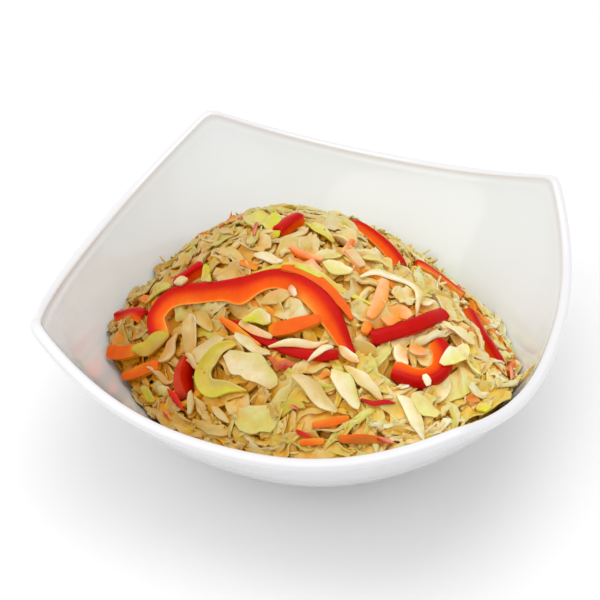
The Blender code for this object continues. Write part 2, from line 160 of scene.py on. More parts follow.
# Pepper strips: the routes that the frame's strips follow, in mm and degrees. A rib is a bulge inside, with its
# place along the strip and its height
PEPPERS = {
    "pepper_arch": {
        "route": [(-39, -38), (-43, -32), (-39, -27), (-28, -27), (-14, -27), (-2, -23), (12, -27),
                  (26, -38)],
        "wall": 7.2, "slice": 4.4, "skin_turn": (15, 15), "taper": (1.0, 0.45), "rib": (0.46, 2.6),
    },
    "pepper_bar": {
        "route": [(30, -32), (36, -27), (42, -20), (47, -9)],
        "wall": 5.0, "slice": 4.8, "skin_turn": (100, 85), "taper": (0.8, 1.0),
    },
    "pepper_curl": {
        "route": [(49, -23), (52, -26.5), (52.5, -32), (47.5, -37), (39, -37.5)],
        "wall": 5.6, "slice": 4.4, "skin_turn": (45, 10), "taper": (0.8, 0.8),
    },
    "pepper_arc": {
        "route": [(-16, -36), (-7, -39), (3, -41.5), (11, -42), (17, -41), (22, -39)],
        "wall": 3.2, "slice": 3.4, "skin_turn": (80, 100), "taper": (0.6, 0.7),
    },
    "pepper_back_right": {
        "route": [(4, 25), (12, 21), (20, 16), (28, 8)],
        "wall": 4.8, "slice": 4.4, "skin_turn": (40, 60), "taper": (0.6, 0.8),
    },
    "pepper_top": {
        "route": [(-11, -4), (-10, 3), (-8, 9)],
        "wall": 4.8, "slice": 4.4, "skin_turn": (90, 70), "taper": (0.8, 0.6),
    },
    "pepper_back_left": {
        "route": [(-41, -22), (-37, -19), (-33, -16)],
        "wall": 4.6, "slice": 4.2, "skin_turn": (80, 80), "taper": (0.6, 0.8),
    },
    "pepper_left": {
        "route": [(-64.5, -22), (-60, -23), (-55, -25.5), (-50, -28.5)],
        "wall": 4.4, "slice": 4.0, "skin_turn": (60, 20), "taper": (0.7, 0.8),
    },
    "pepper_wedge": {
        "route": [(-26, -45), (-26, -50), (-23, -55)],
        "wall": 5.4, "slice": 4.4, "skin_turn": (-60, -90), "taper": (1.0, 0.5),
        "shade": (0.6, 0.12, 0.3),
    },
    "pepper_right": {
        "route": [(29, 22), (37, 25), (46, 23)],
        "wall": 4.6, "slice": 4.8, "skin_turn": (30, 10), "taper": (0.8, 1.0),
    },
    "pepper_edge": {
        "route": [(50, 17), (57, 5), (63, -5), (68, -10)],
        "wall": 4.0, "slice": 3.8, "skin_turn": (60, 90), "taper": (0.7, 0.6),
    },
}
PEPPER_REST = 0.35 * MM
PEPPER_SPACING = 0.8 * MM
PEPPER_SETTLES = 4
PEPPER_CREASE = math.radians(50)
TAPER_RATE = 4
RIB_SPREAD = 0.045
THIN_END = 0.4
CUT_SHARES = (0.12, 0.5, 0.8)
CUT_END = 0.6
CUT_DIP = 0.05
WOBBLE, WOBBLE_LENGTH = 0.05, 12
DRIFT, DRIFT_LENGTH = 0.04, 14

# Materials: noise in features per metre
MOTTLE_SCALE, GLOSS_SCALE, FIBRE_SCALE = 330, 260, 900
MOTTLE_RANGE = (0.3, 0.7)
MOTTLE_LIGHT = (1.04, 1.04, 1.04)
SMOOTHER, ROUGHER = 0.12, 0.16
JUICE_ROUGHNESS = 0.08
SCATTER_RADIUS = (1.0, 0.85, 0.55)
SCATTER_SCALE = 1 * MM
FIBRE_STRENGTH = 0.35
CLOUD_SCALE, SHEEN_SCALE = 22, 60
CLOUD_RANGE = (0.985, 1.015)
GLAZE_ROUGHNESS = (0.10, 0.2)
GLAZE_COAT = 0.6
GLAZE_COAT_ROUGHNESS = 0.05

# Colours, linear
# One glaze in two tones: darker outside (painted shade), paler and cooler inside (painted light)
GLAZE_OUTSIDE_SHADED = (0.76, 0.75, 0.765)
GLAZE_INSIDE_LIT = (0.79, 0.83, 0.85)
SKIN_RED = (0.50, 0.004, 0.002)
FLESH_RED = (0.70, 0.022, 0.001)
FLESH_ORANGE = (0.84, 0.125, 0.002)
FLESH_PALE = (0.92, 0.36, 0.05)
CARROT = (0.80, 0.13, 0.001)
CARROT_PALE = (0.80, 0.30, 0.04)
SALMON = (0.80, 0.47, 0.22)
CREAM = (0.70, 0.62, 0.33)
WHITE = (0.77, 0.76, 0.56)
PURE = (0.86, 0.84, 0.68)
FRESH_GREEN = (0.66, 0.74, 0.04)
SOFT_GREEN = (0.72, 0.73, 0.30)
STRAW = (0.68, 0.52, 0.15)
GOLD = (0.68, 0.43, 0.045)
AMBER_SHADE = (0.92, 0.48, 0.004)
LIME = (0.50, 0.57, 0.035)
PALE_LIME = (0.65, 0.69, 0.26)
RUST = (0.48, 0.13, 0.015)
PINK = (0.80, 0.30, 0.18)
ROSE = (0.52, 0.02, 0.03)


def mix(a, b, share):
    return tuple(x + (y - x) * share for x, y in zip(a, b))


# From the flesh inside to the skin
PEPPER_RAMP = {
    0.0: FLESH_PALE, 0.10: FLESH_ORANGE, 0.42: mix(FLESH_ORANGE, FLESH_RED, 0.3), 0.68: FLESH_RED, 0.86: SKIN_RED,
    1.0: SKIN_RED
}


# Materials
def new_material(name):
    made = bpy.data.materials.new(name)
    made.use_nodes = True
    return made, made.node_tree.nodes, made.node_tree.links, made.node_tree.nodes["Principled BSDF"]


def noise_node(nodes, links, scale, detail):
    """3-D noise over object coordinates, with scale in features per metre."""
    place = nodes.new("ShaderNodeTexCoord")
    noise = nodes.new("ShaderNodeTexNoise")
    noise.inputs["Scale"].default_value = scale
    noise.inputs["Detail"].default_value = detail
    noise.inputs["Roughness"].default_value = 0.55
    links.new(place.outputs["Object"], noise.inputs["Vector"])
    return noise


def ranged(nodes, links, source, low, high):
    """A value from 0 to 1 spread over a range."""
    spread = nodes.new("ShaderNodeMapRange")
    spread.inputs["To Min"].default_value = low
    spread.inputs["To Max"].default_value = high
    links.new(source, spread.inputs["Value"])
    return spread.outputs["Result"]


def bump(nodes, links, shader, height, strength, distance):
    node = nodes.new("ShaderNodeBump")
    node.inputs["Strength"].default_value = strength
    node.inputs["Distance"].default_value = distance
    links.new(height, node.inputs["Height"])
    links.new(node.outputs["Normal"], shader.inputs["Normal"])


def tint_node(nodes):
    tint = nodes.new("ShaderNodeAttribute")
    tint.attribute_name = "tint"
    return tint


def vegetable(name, speckle, rough, coat, scatter, relief, gloss_level):
    """A wet cut vegetable: colour from the mesh's tint, mottled, with fine fibres in relief."""
    made, nodes, links, shader = new_material(name)
    tint = tint_node(nodes)
    mottle = noise_node(nodes, links, MOTTLE_SCALE, 4)
    spread = ranged(nodes, links, mottle.outputs["Fac"], 0, 1)
    spread.node.inputs["From Min"].default_value, spread.node.inputs["From Max"].default_value = MOTTLE_RANGE
    shade = nodes.new("ShaderNodeMix")
    shade.data_type = "RGBA"
    shade.inputs["A"].default_value = (*speckle, 1)
    shade.inputs["B"].default_value = (*MOTTLE_LIGHT, 1)
    links.new(spread, shade.inputs["Factor"])
    blend = nodes.new("ShaderNodeVectorMath")
    blend.operation = "MULTIPLY"
    links.new(tint.outputs["Color"], blend.inputs[0])
    links.new(shade.outputs["Result"], blend.inputs[1])
    links.new(blend.outputs["Vector"], shader.inputs["Base Color"])
    gloss = noise_node(nodes, links, GLOSS_SCALE, 2)
    uneven = ranged(nodes, links, gloss.outputs["Fac"], rough - SMOOTHER, rough + ROUGHER)
    links.new(uneven, shader.inputs["Roughness"])
    shader.inputs["Specular IOR Level"].default_value = gloss_level
    shader.inputs["Coat Weight"].default_value = coat
    shader.inputs["Coat Roughness"].default_value = JUICE_ROUGHNESS
    shader.inputs["Subsurface Weight"].default_value = scatter
    shader.inputs["Subsurface Radius"].default_value = SCATTER_RADIUS
    shader.inputs["Subsurface Scale"].default_value = SCATTER_SCALE
    fibres = noise_node(nodes, links, FIBRE_SCALE, 3)
    bump(nodes, links, shader, fibres.outputs["Fac"], FIBRE_STRENGTH, relief)
    return made


def porcelain():
    """White glaze, its tone from the mesh's tint (darker outside and paler inside: painted shade and painted
    light), very slightly clouded and unevenly glossy.
    """
    made, nodes, links, shader = new_material("porcelain_glaze")
    tint = tint_node(nodes)
    cloud = noise_node(nodes, links, CLOUD_SCALE, 2)
    tone = nodes.new("ShaderNodeVectorMath")
    tone.operation = "SCALE"
    links.new(tint.outputs["Color"], tone.inputs[0])
    links.new(ranged(nodes, links, cloud.outputs["Fac"], *CLOUD_RANGE), tone.inputs["Scale"])
    links.new(tone.outputs["Vector"], shader.inputs["Base Color"])
    sheen = noise_node(nodes, links, SHEEN_SCALE, 2)
    links.new(ranged(nodes, links, sheen.outputs["Fac"], *GLAZE_ROUGHNESS), shader.inputs["Roughness"])
    shader.inputs["Coat Weight"].default_value = GLAZE_COAT
    shader.inputs["Coat Roughness"].default_value = GLAZE_COAT_ROUGHNESS
    return made


# Meshes
def build(name, vertices, faces, finish, tints=None):
    mesh = bpy.data.meshes.new(name)
    mesh.from_pydata(np.asarray(vertices).tolist(), [], [tuple(f) for f in faces])
    mesh.validate()
    if tints is not None:
        layer = mesh.color_attributes.new("tint", "FLOAT_COLOR", "POINT")
        colours = np.ones((len(tints), 4), dtype=np.float32)
        colours[:, :3] = tints
        layer.data.foreach_set("color", colours.ravel())
    mesh.materials.append(finish)
    mesh.shade_smooth()
    made = bpy.data.objects.new(name, mesh)
    bpy.context.scene.collection.objects.link(made)
    return made


def ring_faces(rings, count):
    """Quads between rings of equal count, with one n-gon on each end."""
    faces = []
    for level in range(rings - 1):
        low = level * count
        for i in range(count):
            j = (i + 1) % count
            faces.append((low + i, low + j, low + count + j, low + count + i))
    faces.append(tuple(reversed(range(count))))
    faces.append(tuple(range((rings - 1) * count, rings * count)))
    return faces


def dress(body, node):
    """The body takes the place of a solid of the frame."""
    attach(body, "root")
    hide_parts(node)


# Bowl
def soften_loop(values, spacing, softness):
    reach = int(4 * softness / spacing) + 1
    total = np.zeros_like(values)
    weights = 0.0
    for step in range(-reach, reach + 1):
        weight = math.exp(-0.5 * (step * spacing / softness) ** 2)
        total += weight * np.roll(values, step, 0)
        weights += weight
    return total / weights


def rim_outline(refine=4):
    per_side = SIDE_POINTS * refine
    along = np.linspace(-1, 1, per_side + 1)[:-1]
    out = HALF_SIDE + SIDE_BOW * (1 - np.abs(along) ** SIDE_BOW_POWER)
    height = RIM_HEIGHT + CORNER_RISE * np.abs(along) ** CORNER_RISE_POWER
    sides = []
    for turn in range(4):
        c = round(math.cos(turn * math.pi / 2))
        s = round(math.sin(turn * math.pi / 2))
        sides.append(np.stack([out * c - along * HALF_SIDE * s, out * s + along * HALF_SIDE * c, height], 1))
    outline = soften_loop(np.concatenate(sides), 2 * HALF_SIDE / per_side, CORNER_SOFTNESS)
    return outline[::refine]


def inset(outline, distance):
    radius = np.hypot(outline[:, 0], outline[:, 1])
    moved = outline.copy()
    moved[:, :2] *= ((radius - distance) / radius)[:, None]
    return moved


def flare(share):
    return (1 - (1 - share) ** FLARE_POWER) ** FLARE_ROOT


def wall_ring(rim, start_radius, start_height, share):
    share = np.broadcast_to(share, (len(rim),))
    angle = np.arctan2(rim[:, 1], rim[:, 0])
    circle = start_radius * np.stack([np.cos(angle), np.sin(angle)], 1)
    plan = circle + (rim[:, :2] - circle) * flare(share)[:, None]
    return np.column_stack([plan, start_height + (rim[:, 2] - start_height) * share])


def circle_ring(outline, radius, height):
    angle = np.arctan2(outline[:, 1], outline[:, 0])
    return np.column_stack([radius * np.cos(angle), radius * np.sin(angle), np.full(len(angle), height)])


def lip_ring(outline, distance, drop):
    ring = inset(outline, distance)
    ring[:, 2] -= drop
    return ring


def make_bowl(outline, finish):
    """Rings from under the foot up the outside, over the lip and down the inside to the floor."""
    rings = [circle_ring(outline, r, FOOT_RECESS) for r in (2 * MM, 0.5 * FOOT_RING_INNER)]
    rings.append(circle_ring(outline, FOOT_RING_INNER - FOOT_ROUND, FOOT_RECESS))
    for turn in np.linspace(0, math.pi / 2, 4):
        rings.append(circle_ring(outline, FOOT_RING_INNER + FOOT_ROUND * math.sin(turn) * 0.6,
                                 FOOT_ROUND * (1 - math.sin(turn))))
    for turn in np.linspace(0, math.pi / 2, 5):
        rings.append(circle_ring(outline, FOOT_RADIUS - FOOT_ROUND * (1 - math.sin(turn)),
                                 FOOT_ROUND * (1 - math.cos(turn))))
    outer_rim = inset(outline, LIP_PROUD)
    inner_rim = inset(outline, WALL)
    wall_end = 1 - LIP_DROP / (RIM_HEIGHT - FOOT_HEIGHT)
    for share in np.linspace(0.0, 1, WALL_RINGS) ** RING_SPACING_POWER * wall_end:
        rings.append(wall_ring(outer_rim, FOOT_RADIUS, FOOT_HEIGHT, share))
    for turn in np.linspace(0, math.pi / 2, 4)[1:]:
        rings.append(lip_ring(outline, LIP_PROUD * math.cos(turn), LIP_DROP - LIP_PROUD * math.sin(turn)))
    for turn in np.linspace(0, math.pi, 13):
        drop = CROWN * (1 - math.sin(turn) ** CROWN_POWER)
        rings.append(lip_ring(outline, 0.5 * WALL * (1 - math.cos(turn)), drop))
    outside = len(rings)
    inner_end = 1 - CROWN / (RIM_HEIGHT - FLOOR_HEIGHT)
    for share in (np.linspace(1, 0, WALL_RINGS) ** RING_SPACING_POWER)[1:] * inner_end:
        rings.append(wall_ring(inner_rim, FLOOR_RADIUS, FLOOR_HEIGHT, share))
    rings += [circle_ring(outline, r, FLOOR_HEIGHT) for r in (0.5 * FLOOR_RADIUS, 2 * MM)]
    count = len(outline)
    # Darker outside and paler inside: painted shade and painted light on one glaze
    tints = np.repeat([GLAZE_OUTSIDE_SHADED] * outside + [GLAZE_INSIDE_LIT] * (len(rings) - outside), count, axis=0)
    body = build("porcelain_bowl", np.concatenate(rings), ring_faces(len(rings), count), finish, tints)
    body.data.set_sharp_from_angle(angle=BOWL_CREASE)
    dress(body, "bowl")


# Heap surface, as a height over each place in plan
class Heap:
    def __init__(self, outline, drop):
        rim = inset(outline, WALL + HEAP_GAP)
        angle = np.arctan2(rim[:, 1], rim[:, 0])
        depth = np.interp(np.degrees(angle), list(CONTACT_DEPTH), list(CONTACT_DEPTH.values()),
                          period=360)
        depth = soften_loop(depth * MM, 2 * HALF_SIDE / SIDE_POINTS, CONTACT_SOFTNESS)
        floor = FLOOR_HEIGHT + HEAP_LIFT
        share = (RIM_HEIGHT - depth - drop - floor) / (rim[:, 2] - floor)
        base = wall_ring(rim, FLOOR_RADIUS - HEAP_GAP, floor, share)
        self.rim, self.share, self.base = rim, share, base
        self.peak = np.array([*PEAK_PLACE, PEAK_HEIGHT - drop])
        out = base[:, :2] - self.peak[:2]
        self.turn = np.arctan2(out[:, 1], out[:, 0])
        self.span = np.hypot(out[:, 0], out[:, 1])
        self.edge = base[:, 2]

    def height(self, x, y):
        """Height of the dome and the share of the way from its peak to its edge."""
        turn = np.arctan2(y - self.peak[1], x - self.peak[0])
        span = np.interp(turn, self.turn, self.span, period=2 * math.pi)
        edge = np.interp(turn, self.turn, self.edge, period=2 * math.pi)
        reach = np.hypot(x - self.peak[0], y - self.peak[1]) / span
        return edge + (self.peak[2] - edge) * (1 - reach ** DOME_POWER), reach


def bowl_inside(outline, x, y):
    """Height of the bowl's inner wall over a place in plan, and far above it outside the rim."""
    rim = inset(outline, WALL + WALL_CLEARANCE)
    angle = np.arctan2(rim[:, 1], rim[:, 0])
    turn = np.arctan2(y, x)
    radius = np.hypot(x, y)
    rim_radius = np.interp(turn, angle, np.hypot(rim[:, 0], rim[:, 1]), period=2 * math.pi)
    rim_height = np.interp(turn, angle, rim[:, 2], period=2 * math.pi)
    way = np.clip((radius - FLOOR_RADIUS) / (rim_radius - FLOOR_RADIUS), 0, 1)
    share = 1 - (1 - way ** (1 / FLARE_ROOT)) ** (1 / FLARE_POWER)
    height = FLOOR_HEIGHT + (rim_height - FLOOR_HEIGHT) * share
    return np.where(radius < rim_radius, height, OUTSIDE)


class Pile:
    """A height map of what has been laid so far, on which each piece comes to rest."""

    def __init__(self, outline):
        self.x = np.arange(-REACH_X, REACH_X, CELL)
        self.y = np.arange(-REACH_Y, REACH_Y, CELL)
        gx, gy = np.meshgrid(self.x, self.y, indexing="ij")
        self.gx, self.gy = gx, gy
        self.wall = bowl_inside(outline, gx, gy)
        core, reach = Heap(outline, CORE_DROP).height(gx, gy)
        top, top_reach = Heap(outline, 0).height(gx, gy)
        self.core = core
        self.carried = reach < 1
        in_bowl = self.wall < OUTSIDE
        self.within = (top_reach < WITHIN_REACH) & in_bowl
        self.edge = self.within & (top_reach > EDGE_FROM)
        over = np.maximum(top, self.wall + EDGE_DEPTH)
        self.top = np.where(self.within, over, NOTHING)
        self.aim = np.where((top_reach < AIM_REACH) & in_bowl, over, NOTHING)
        self.level = np.maximum(np.where(self.carried, core, NOTHING), self.wall)
        self.guard = np.full(core.shape, float(NOTHING))
        self.slope = [np.clip(grade, -STEEPEST, STEEPEST) for grade in np.gradient(top, CELL)]

    def cell(self, x, y):
        i = np.clip(((x + REACH_X) / CELL + 0.5).astype(int), 0, len(self.x) - 1)
        j = np.clip(((y + REACH_Y) / CELL + 0.5).astype(int), 0, len(self.y) - 1)
        return i, j

    def at(self, field, points):
        return field[self.cell(points[..., 0], points[..., 1])]

    def hollow(self, points):
        """How far the pile closes a place in, from 0 in the open to 1 deep between shreds."""
        i, j = self.cell(points[:, 0], points[:, 1])
        salad = np.where(self.level > self.wall + HOLLOW_FLOOR, self.level, NOTHING)
        closed = np.zeros(len(points))
        for radius in HOLLOW_RADII:
            for turn in np.linspace(0, 2 * math.pi, HOLLOW_TURNS, endpoint=False):
                dx, dy = radius * math.cos(turn), radius * math.sin(turn)
                near = salad[self.cell(points[:, 0] + dx, points[:, 1] + dy)]
                rise = near - points[:, 2] - self.slope[0][i, j] * dx - self.slope[1][i, j] * dy
                closed += np.clip(rise / radius - HOLLOW_FROM, 0, 1)
        return closed / (HOLLOW_TURNS * len(HOLLOW_RADII))

    def raise_to(self, field, points):
        """Lift a height map to a sheet of points, sampled finely enough to leave no gap."""
        fine = subdivide(subdivide(points))
        np.maximum.at(field, self.cell(fine[..., 0], fine[..., 1]), fine[..., 2])


def subdivide(points):
    middle = 0.5 * (points[1:] + points[:-1])
    out = np.empty((2 * len(points) - 1, *points.shape[1:]))
    out[::2] = points
    out[1::2] = middle
    middle = 0.5 * (out[:, 1:] + out[:, :-1])
    both = np.empty((len(out), 2 * out.shape[1] - 1, 3))
    both[:, ::2] = out
    both[:, 1::2] = middle
    return both


# Peppers
def curve_through(points, spacing):
    """Evenly spaced places along a smooth curve through a few points in plan."""
    ends = [2 * points[0] - points[1]] + list(points) + [2 * points[-1] - points[-2]]
    dense = []
    for a, b, c, d in zip(ends, ends[1:], ends[2:], ends[3:]):
        for t in np.linspace(0, 1, 20, endpoint=False):
            square = 2 * a - 5 * b + 4 * c - d
            cube = 3 * b - a - 3 * c + d
            dense.append(0.5 * (2 * b + (c - a) * t + square * t**2 + cube * t**3))
    dense.append(points[-1])
    dense = np.array(dense)
    along = np.concatenate([[0], np.cumsum(np.linalg.norm(np.diff(dense, axis=0), axis=1))])
    count = max(4, round(along[-1] / spacing) + 1)
    places = np.linspace(0, along[-1], count)
    return np.column_stack([np.interp(places, along, dense[:, k]) for k in range(2)])


def unit(v):
    return v / np.linalg.norm(v, axis=-1, keepdims=True)


def strip_rings(places, ups, spec, wobble):
    """Rings of a pepper strip: rounded at the skin, cut flat on two sides, hollowed inside."""
    count = len(places)
    part = np.linspace(0, 1, count)
    ahead = unit(np.gradient(places, axis=0))
    left = unit(np.cross(ups, ahead))
    up = np.cross(ahead, left)
    turn = np.radians(spec["skin_turn"][0] * (1 - part) + spec["skin_turn"][1] * part)[:, None]
    to_skin = left * np.cos(turn) + up * np.sin(turn)
    to_cut = -np.cross(ahead, to_skin)
    start, end = spec["taper"]
    narrow = np.minimum(1.0, np.minimum(start + TAPER_RATE * part, end + TAPER_RATE * (1 - part)))
    wall = 0.5 * spec["wall"] * MM * narrow * (1 + wobble[0])
    half = 0.5 * spec["slice"] * MM * (THIN_END + (1 - THIN_END) * narrow) * (1 + wobble[1])
    flesh = wall.copy()
    if "rib" in spec:
        place, height = spec["rib"]
        flesh += height * MM * np.exp(-((part - place) / RIB_SPREAD) ** 2)
    outline = [(-flesh * (0.94 + 0.06 * t * t), half * t * 0.93, 0.0) for t in np.linspace(-1, 1, 5)]
    cut = [(-flesh + (flesh + CUT_END * wall) * share, half * (1 - CUT_DIP * math.sin(math.pi * share)), share)
           for share in CUT_SHARES]
    skin = [(wall * (0.62 + 0.38 * math.cos(bend)), half * math.sin(bend), 1.0)
            for bend in np.linspace(math.pi / 2, -math.pi / 2, 9)]
    outline += cut + skin + [(out, -side, share) for out, side, share in reversed(cut)]
    rings = np.stack([places + to_skin * a[:, None] + to_cut * b[:, None] for a, b, _ in outline], 1)
    shares = np.array([s for _, _, s in outline])
    return rings, shares


def wander(rng, count, size, length):
    """Smooth random wobble along a strip."""
    knots = rng.normal(0, size, max(3, count // length + 2))
    return np.interp(np.linspace(0, len(knots) - 1, count), np.arange(len(knots)), knots)


def make_pepper(name, spec, pile, finish, rng):
    """A strip lifted until it clears the core all along, with its colour running from flesh to skin."""
    route = [np.array(p) * MM for p in spec["route"]]
    plan = curve_through(route, PEPPER_SPACING)
    places = np.column_stack([plan, np.zeros(len(plan))])
    i, j = pile.cell(plan[:, 0], plan[:, 1])
    carried = np.nonzero(pile.carried[i, j])[0]
    nearest = carried[np.abs(np.arange(len(plan))[:, None] - carried[None, :]).argmin(1)]
    i, j = i[nearest], j[nearest]
    places[:, 2] = pile.core[i, j]
    slope = np.gradient(pile.core, CELL)
    ups = unit(np.column_stack([-slope[0][i, j], -slope[1][i, j], np.ones(len(plan))]))
    kernel = np.ones(5) / 5
    ups = unit(np.column_stack([np.convolve(np.pad(u, 2, "edge"), kernel, "valid") for u in ups.T]))
    wobble = [wander(rng, len(plan), WOBBLE, WOBBLE_LENGTH) for _ in range(2)]
    for _ in range(PEPPER_SETTLES):
        rings, shares = strip_rings(places, ups, spec, wobble)
        over = pile.at(pile.core, rings) + PEPPER_REST - rings[..., 2]
        lift = np.where(pile.at(pile.carried, rings), over, 0).max(1)
        reach = 4
        padded = np.pad(lift, reach, "edge")
        places[:, 2] += np.array([padded[k:k + 2 * reach + 1].max() for k in range(len(lift))])
    soft = np.exp(-0.5 * (np.arange(-8, 9) / 3.5) ** 2)
    places[:, 2] = np.convolve(np.pad(places[:, 2], 8, "edge"), soft / soft.sum(), "valid")
    rings, shares = strip_rings(places, ups, spec, wobble)
    over = pile.at(pile.core, rings) - rings[..., 2]
    places[:, 2] += max(0.0, over[pile.at(pile.carried, rings)].max())
    rings, shares = strip_rings(places, ups, spec, wobble)
    count = rings.shape[1]
    tints = np.empty((*rings.shape[:2], 3))
    drift = wander(rng, len(plan), DRIFT, DRIFT_LENGTH)
    depth = np.clip(shares[None, :] + drift[:, None] * (shares < 1), 0, 1)
    for k in range(3):
        tints[..., k] = np.interp(depth, list(PEPPER_RAMP), [colour[k] for colour in PEPPER_RAMP.values()])
    tints *= np.array(spec.get("shade", (1, 1, 1)))
    body = build(name + "_flesh_and_skin", rings.reshape(-1, 3), ring_faces(len(rings), count), finish,
                 tints.reshape(-1, 3))
    body.data.set_sharp_from_angle(angle=PEPPER_CREASE)
    pile.raise_to(pile.guard, rings)
    dress(body, name)


# Shreds
class Kind:
    """Shreds of one kind, gathered as arrays and made into one mesh."""

    def __init__(self, name, finish):
        self.name, self.finish = name, finish
        self.vertices, self.faces, self.tints = [], [], []
        self.size = 0

    def add(self, sheet, thick, tints, square=False):
        """A closed thin solid about a sheet of points, with a thickness for each point."""
        n, m = sheet.shape[:2]
        normal = unit(np.cross(np.gradient(sheet, axis=0), np.gradient(sheet, axis=1)) + 1e-12)
        across = np.linspace(-1, 1, m)[None, :, None]
        along = np.linspace(-1, 1, n)[:, None, None]
        side, side_power, end, end_power = CUT_STICK if square else THIN_LEAF
        half = 0.5 * thick * (1 - side * np.abs(across) ** side_power) * (1 - end * np.abs(along) ** end_power)
        top = sheet + normal * half
        low = sheet - normal * half
        base = self.size
        index = np.arange(n * m).reshape(n, m)
        a, b, c, d = index[:-1, :-1], index[1:, :-1], index[1:, 1:], index[:-1, 1:]
        quads = np.stack([a, b, c, d], -1).reshape(-1, 4)
        self.faces.append(quads + base)
        self.faces.append(quads[:, ::-1] + base + n * m)
        loop = np.concatenate([index[:, 0], index[-1, 1:], index[-2::-1, -1], index[0, -2:0:-1]])
        after = np.roll(loop, -1)
        self.faces.append(np.stack([after, loop, loop + n * m, after + n * m], -1) + base)
        self.vertices += [top.reshape(-1, 3), low.reshape(-1, 3)]
        self.tints += [tints.reshape(-1, 3).copy(), tints.reshape(-1, 3).copy()]
        self.size += 2 * n * m

    def paint_light_and_shade(self, pile):
        """Painted shade and light: parts closed in between shreds turn amber (painted shade), the left darker (a
        painted shadow of the bowl's wall) and the right paler (painted light).
        """
        for vertices, tints in zip(self.vertices, self.tints):
            # Painted amber shade where the pile closes a place in
            deep = np.clip(HOLLOW_SHADE_STRENGTH * pile.hollow(vertices), 0, 1)
            across = vertices[:, 0] * math.cos(AZIMUTH) + vertices[:, 1] * math.sin(AZIMUTH)
            left = np.interp(across, LEFT_PLACES, LEFT_SHARES)[:, None]
            right = np.interp(across, RIGHT_PLACES, (0, 1))[:, None]
            amber_shade = deep[:, None] * (0.75 + 0.2 * left - 0.15 * right)
            tints += (np.array(AMBER_SHADE) - tints) * amber_shade
            # Painted shadow on the left, painted light on the right
            shaded = LEFT_PAINTED_SHADOW if self.name.startswith("cabbage") else LEFT_CARROT_SHADOW
            tints *= np.array(shaded) ** left * np.array(RIGHT_PAINTED_LIGHT) ** right

    def make(self):
        body = build(self.name, np.concatenate(self.vertices), np.concatenate(self.faces).tolist(),
                     self.finish, np.concatenate(self.tints))
        body.data.set_sharp_from_angle(angle=SHRED_CREASE)
        dress(body, "coleslaw")


def crumple(rng, x, y, size):
    """Low folds of a limp leaf, as a few crossed waves."""
    z = np.zeros_like(x)
    waves = 3
    for _ in range(waves):
        way = rng.uniform(0, 2 * math.pi)
        length = rng.uniform(5, 14) * MM
        z += np.sin(2 * math.pi * (x * math.cos(way) + y * math.sin(way)) / length + rng.uniform(0, 6))
    return z * size / waves


def flake_sheet(rng, length, width, n, m, blunt=False):
    """The middle surface of a limp shred along X: pointed, bowed, troughed, folded, twisted and curled."""
    s = np.linspace(0, 1, n)[:, None]
    t = np.linspace(-1, 1, m)[None, :]
    widest = rng.uniform(0.25, 0.6)
    tips = (0.8, 0.7) if blunt else (rng.uniform(0.1, 0.95), rng.uniform(0.05, 0.8))
    rise = np.clip(s / widest, 0, 1)
    fall = np.clip((1 - s) / (1 - widest), 0, 1)
    profile = (tips[0] + (1 - tips[0]) * np.sin(0.5 * math.pi * rise) ** 0.9) * (
        tips[1] + (1 - tips[1]) * np.sin(0.5 * math.pi * fall) ** 0.9)
    profile = profile * (1 + 0.1 * np.sin(s * rng.uniform(5, 14) + rng.uniform(0, 6)))
    half = 0.5 * width * profile
    x = length * (s - 0.5) + half * t * rng.uniform(-0.5, 0.5)
    y = half * t + rng.uniform(-0.3, 0.3) * length * ((2 * s - 1) ** 2 - 0.3)
    y = y + 0.06 * width * np.abs(t) ** 2 * np.sin(s * rng.uniform(8, 20) + rng.uniform(0, 6) + t)
    x = x + 0.12 * width * np.sin(t * rng.uniform(2, 6) + rng.uniform(0, 6)) * np.abs(2 * s - 1) ** 4
    z = rng.uniform(-0.1, 0.8) * half * t * t + crumple(rng, x, y, rng.uniform(0.15, 0.6) * MM)
    if rng.random() < 0.3:
        z = z + rng.uniform(0.3, 0.9) * np.abs(y - rng.uniform(-0.3, 0.3) * width)
    roll = rng.uniform(-1.1, 1.1) * (s - 0.5)
    y, z = y * np.cos(roll) - z * np.sin(roll), y * np.sin(roll) + z * np.cos(roll)
    radius = rng.uniform(9, 34) * MM * (1 if rng.random() < 0.55 else -1)
    arc = x / radius
    z = z + radius * (np.cos(arc) - 1) * 0.8
    x = radius * np.sin(arc)
    return np.stack([x + 0 * z, y + 0 * z, z], -1)


def lay(pile, sheet, x, y, heading, tip, thick):
    """Turn a sheet to the slope under it, tip it, lower it until it rests and let it sag a little."""
    c, s = math.cos(heading), math.sin(heading)
    plan = sheet[..., :2] @ np.array([[c, s], [-s, c]])
    under = pile.at(pile.level, plan + (x, y))
    a = np.column_stack([plan.reshape(-1, 2), np.ones(plan[..., 0].size)])
    fit, *_ = np.linalg.lstsq(a, under.ravel(), rcond=None)
    i, j = pile.cell(np.array([x]), np.array([y]))
    slope = np.array([pile.slope[0][i, j][0], pile.slope[1][i, j][0]])
    grade = 0.5 * np.clip(fit[:2], -STEEPEST_REST, STEEPEST_REST) + 0.5 * slope
    up = unit(np.array([-grade[0], -grade[1], 1.0]))
    ahead = np.array([c, s, 0.0])
    ahead = unit(ahead - up * (ahead @ up))
    up = unit(up * math.cos(tip) - ahead * math.sin(tip))
    ahead = unit(ahead - up * (ahead @ up))
    left = np.cross(up, ahead)
    placed = sheet[..., :1] * ahead + sheet[..., 1:2] * left + sheet[..., 2:] * up
    placed = placed + (x, y, 0)
    gap = pile.at(pile.level, placed) - (placed[..., 2] - 0.5 * thick)
    lift = np.quantile(gap, 1 - SINK)
    placed[..., 2] += lift - LIMP * np.clip(lift - gap, 0, SAG_MOST)
    wall_gap = pile.at(pile.wall, placed) + FILM - (placed[..., 2] - 0.5 * thick)
    placed[..., 2] += max(0.0, wall_gap.max())
    return placed


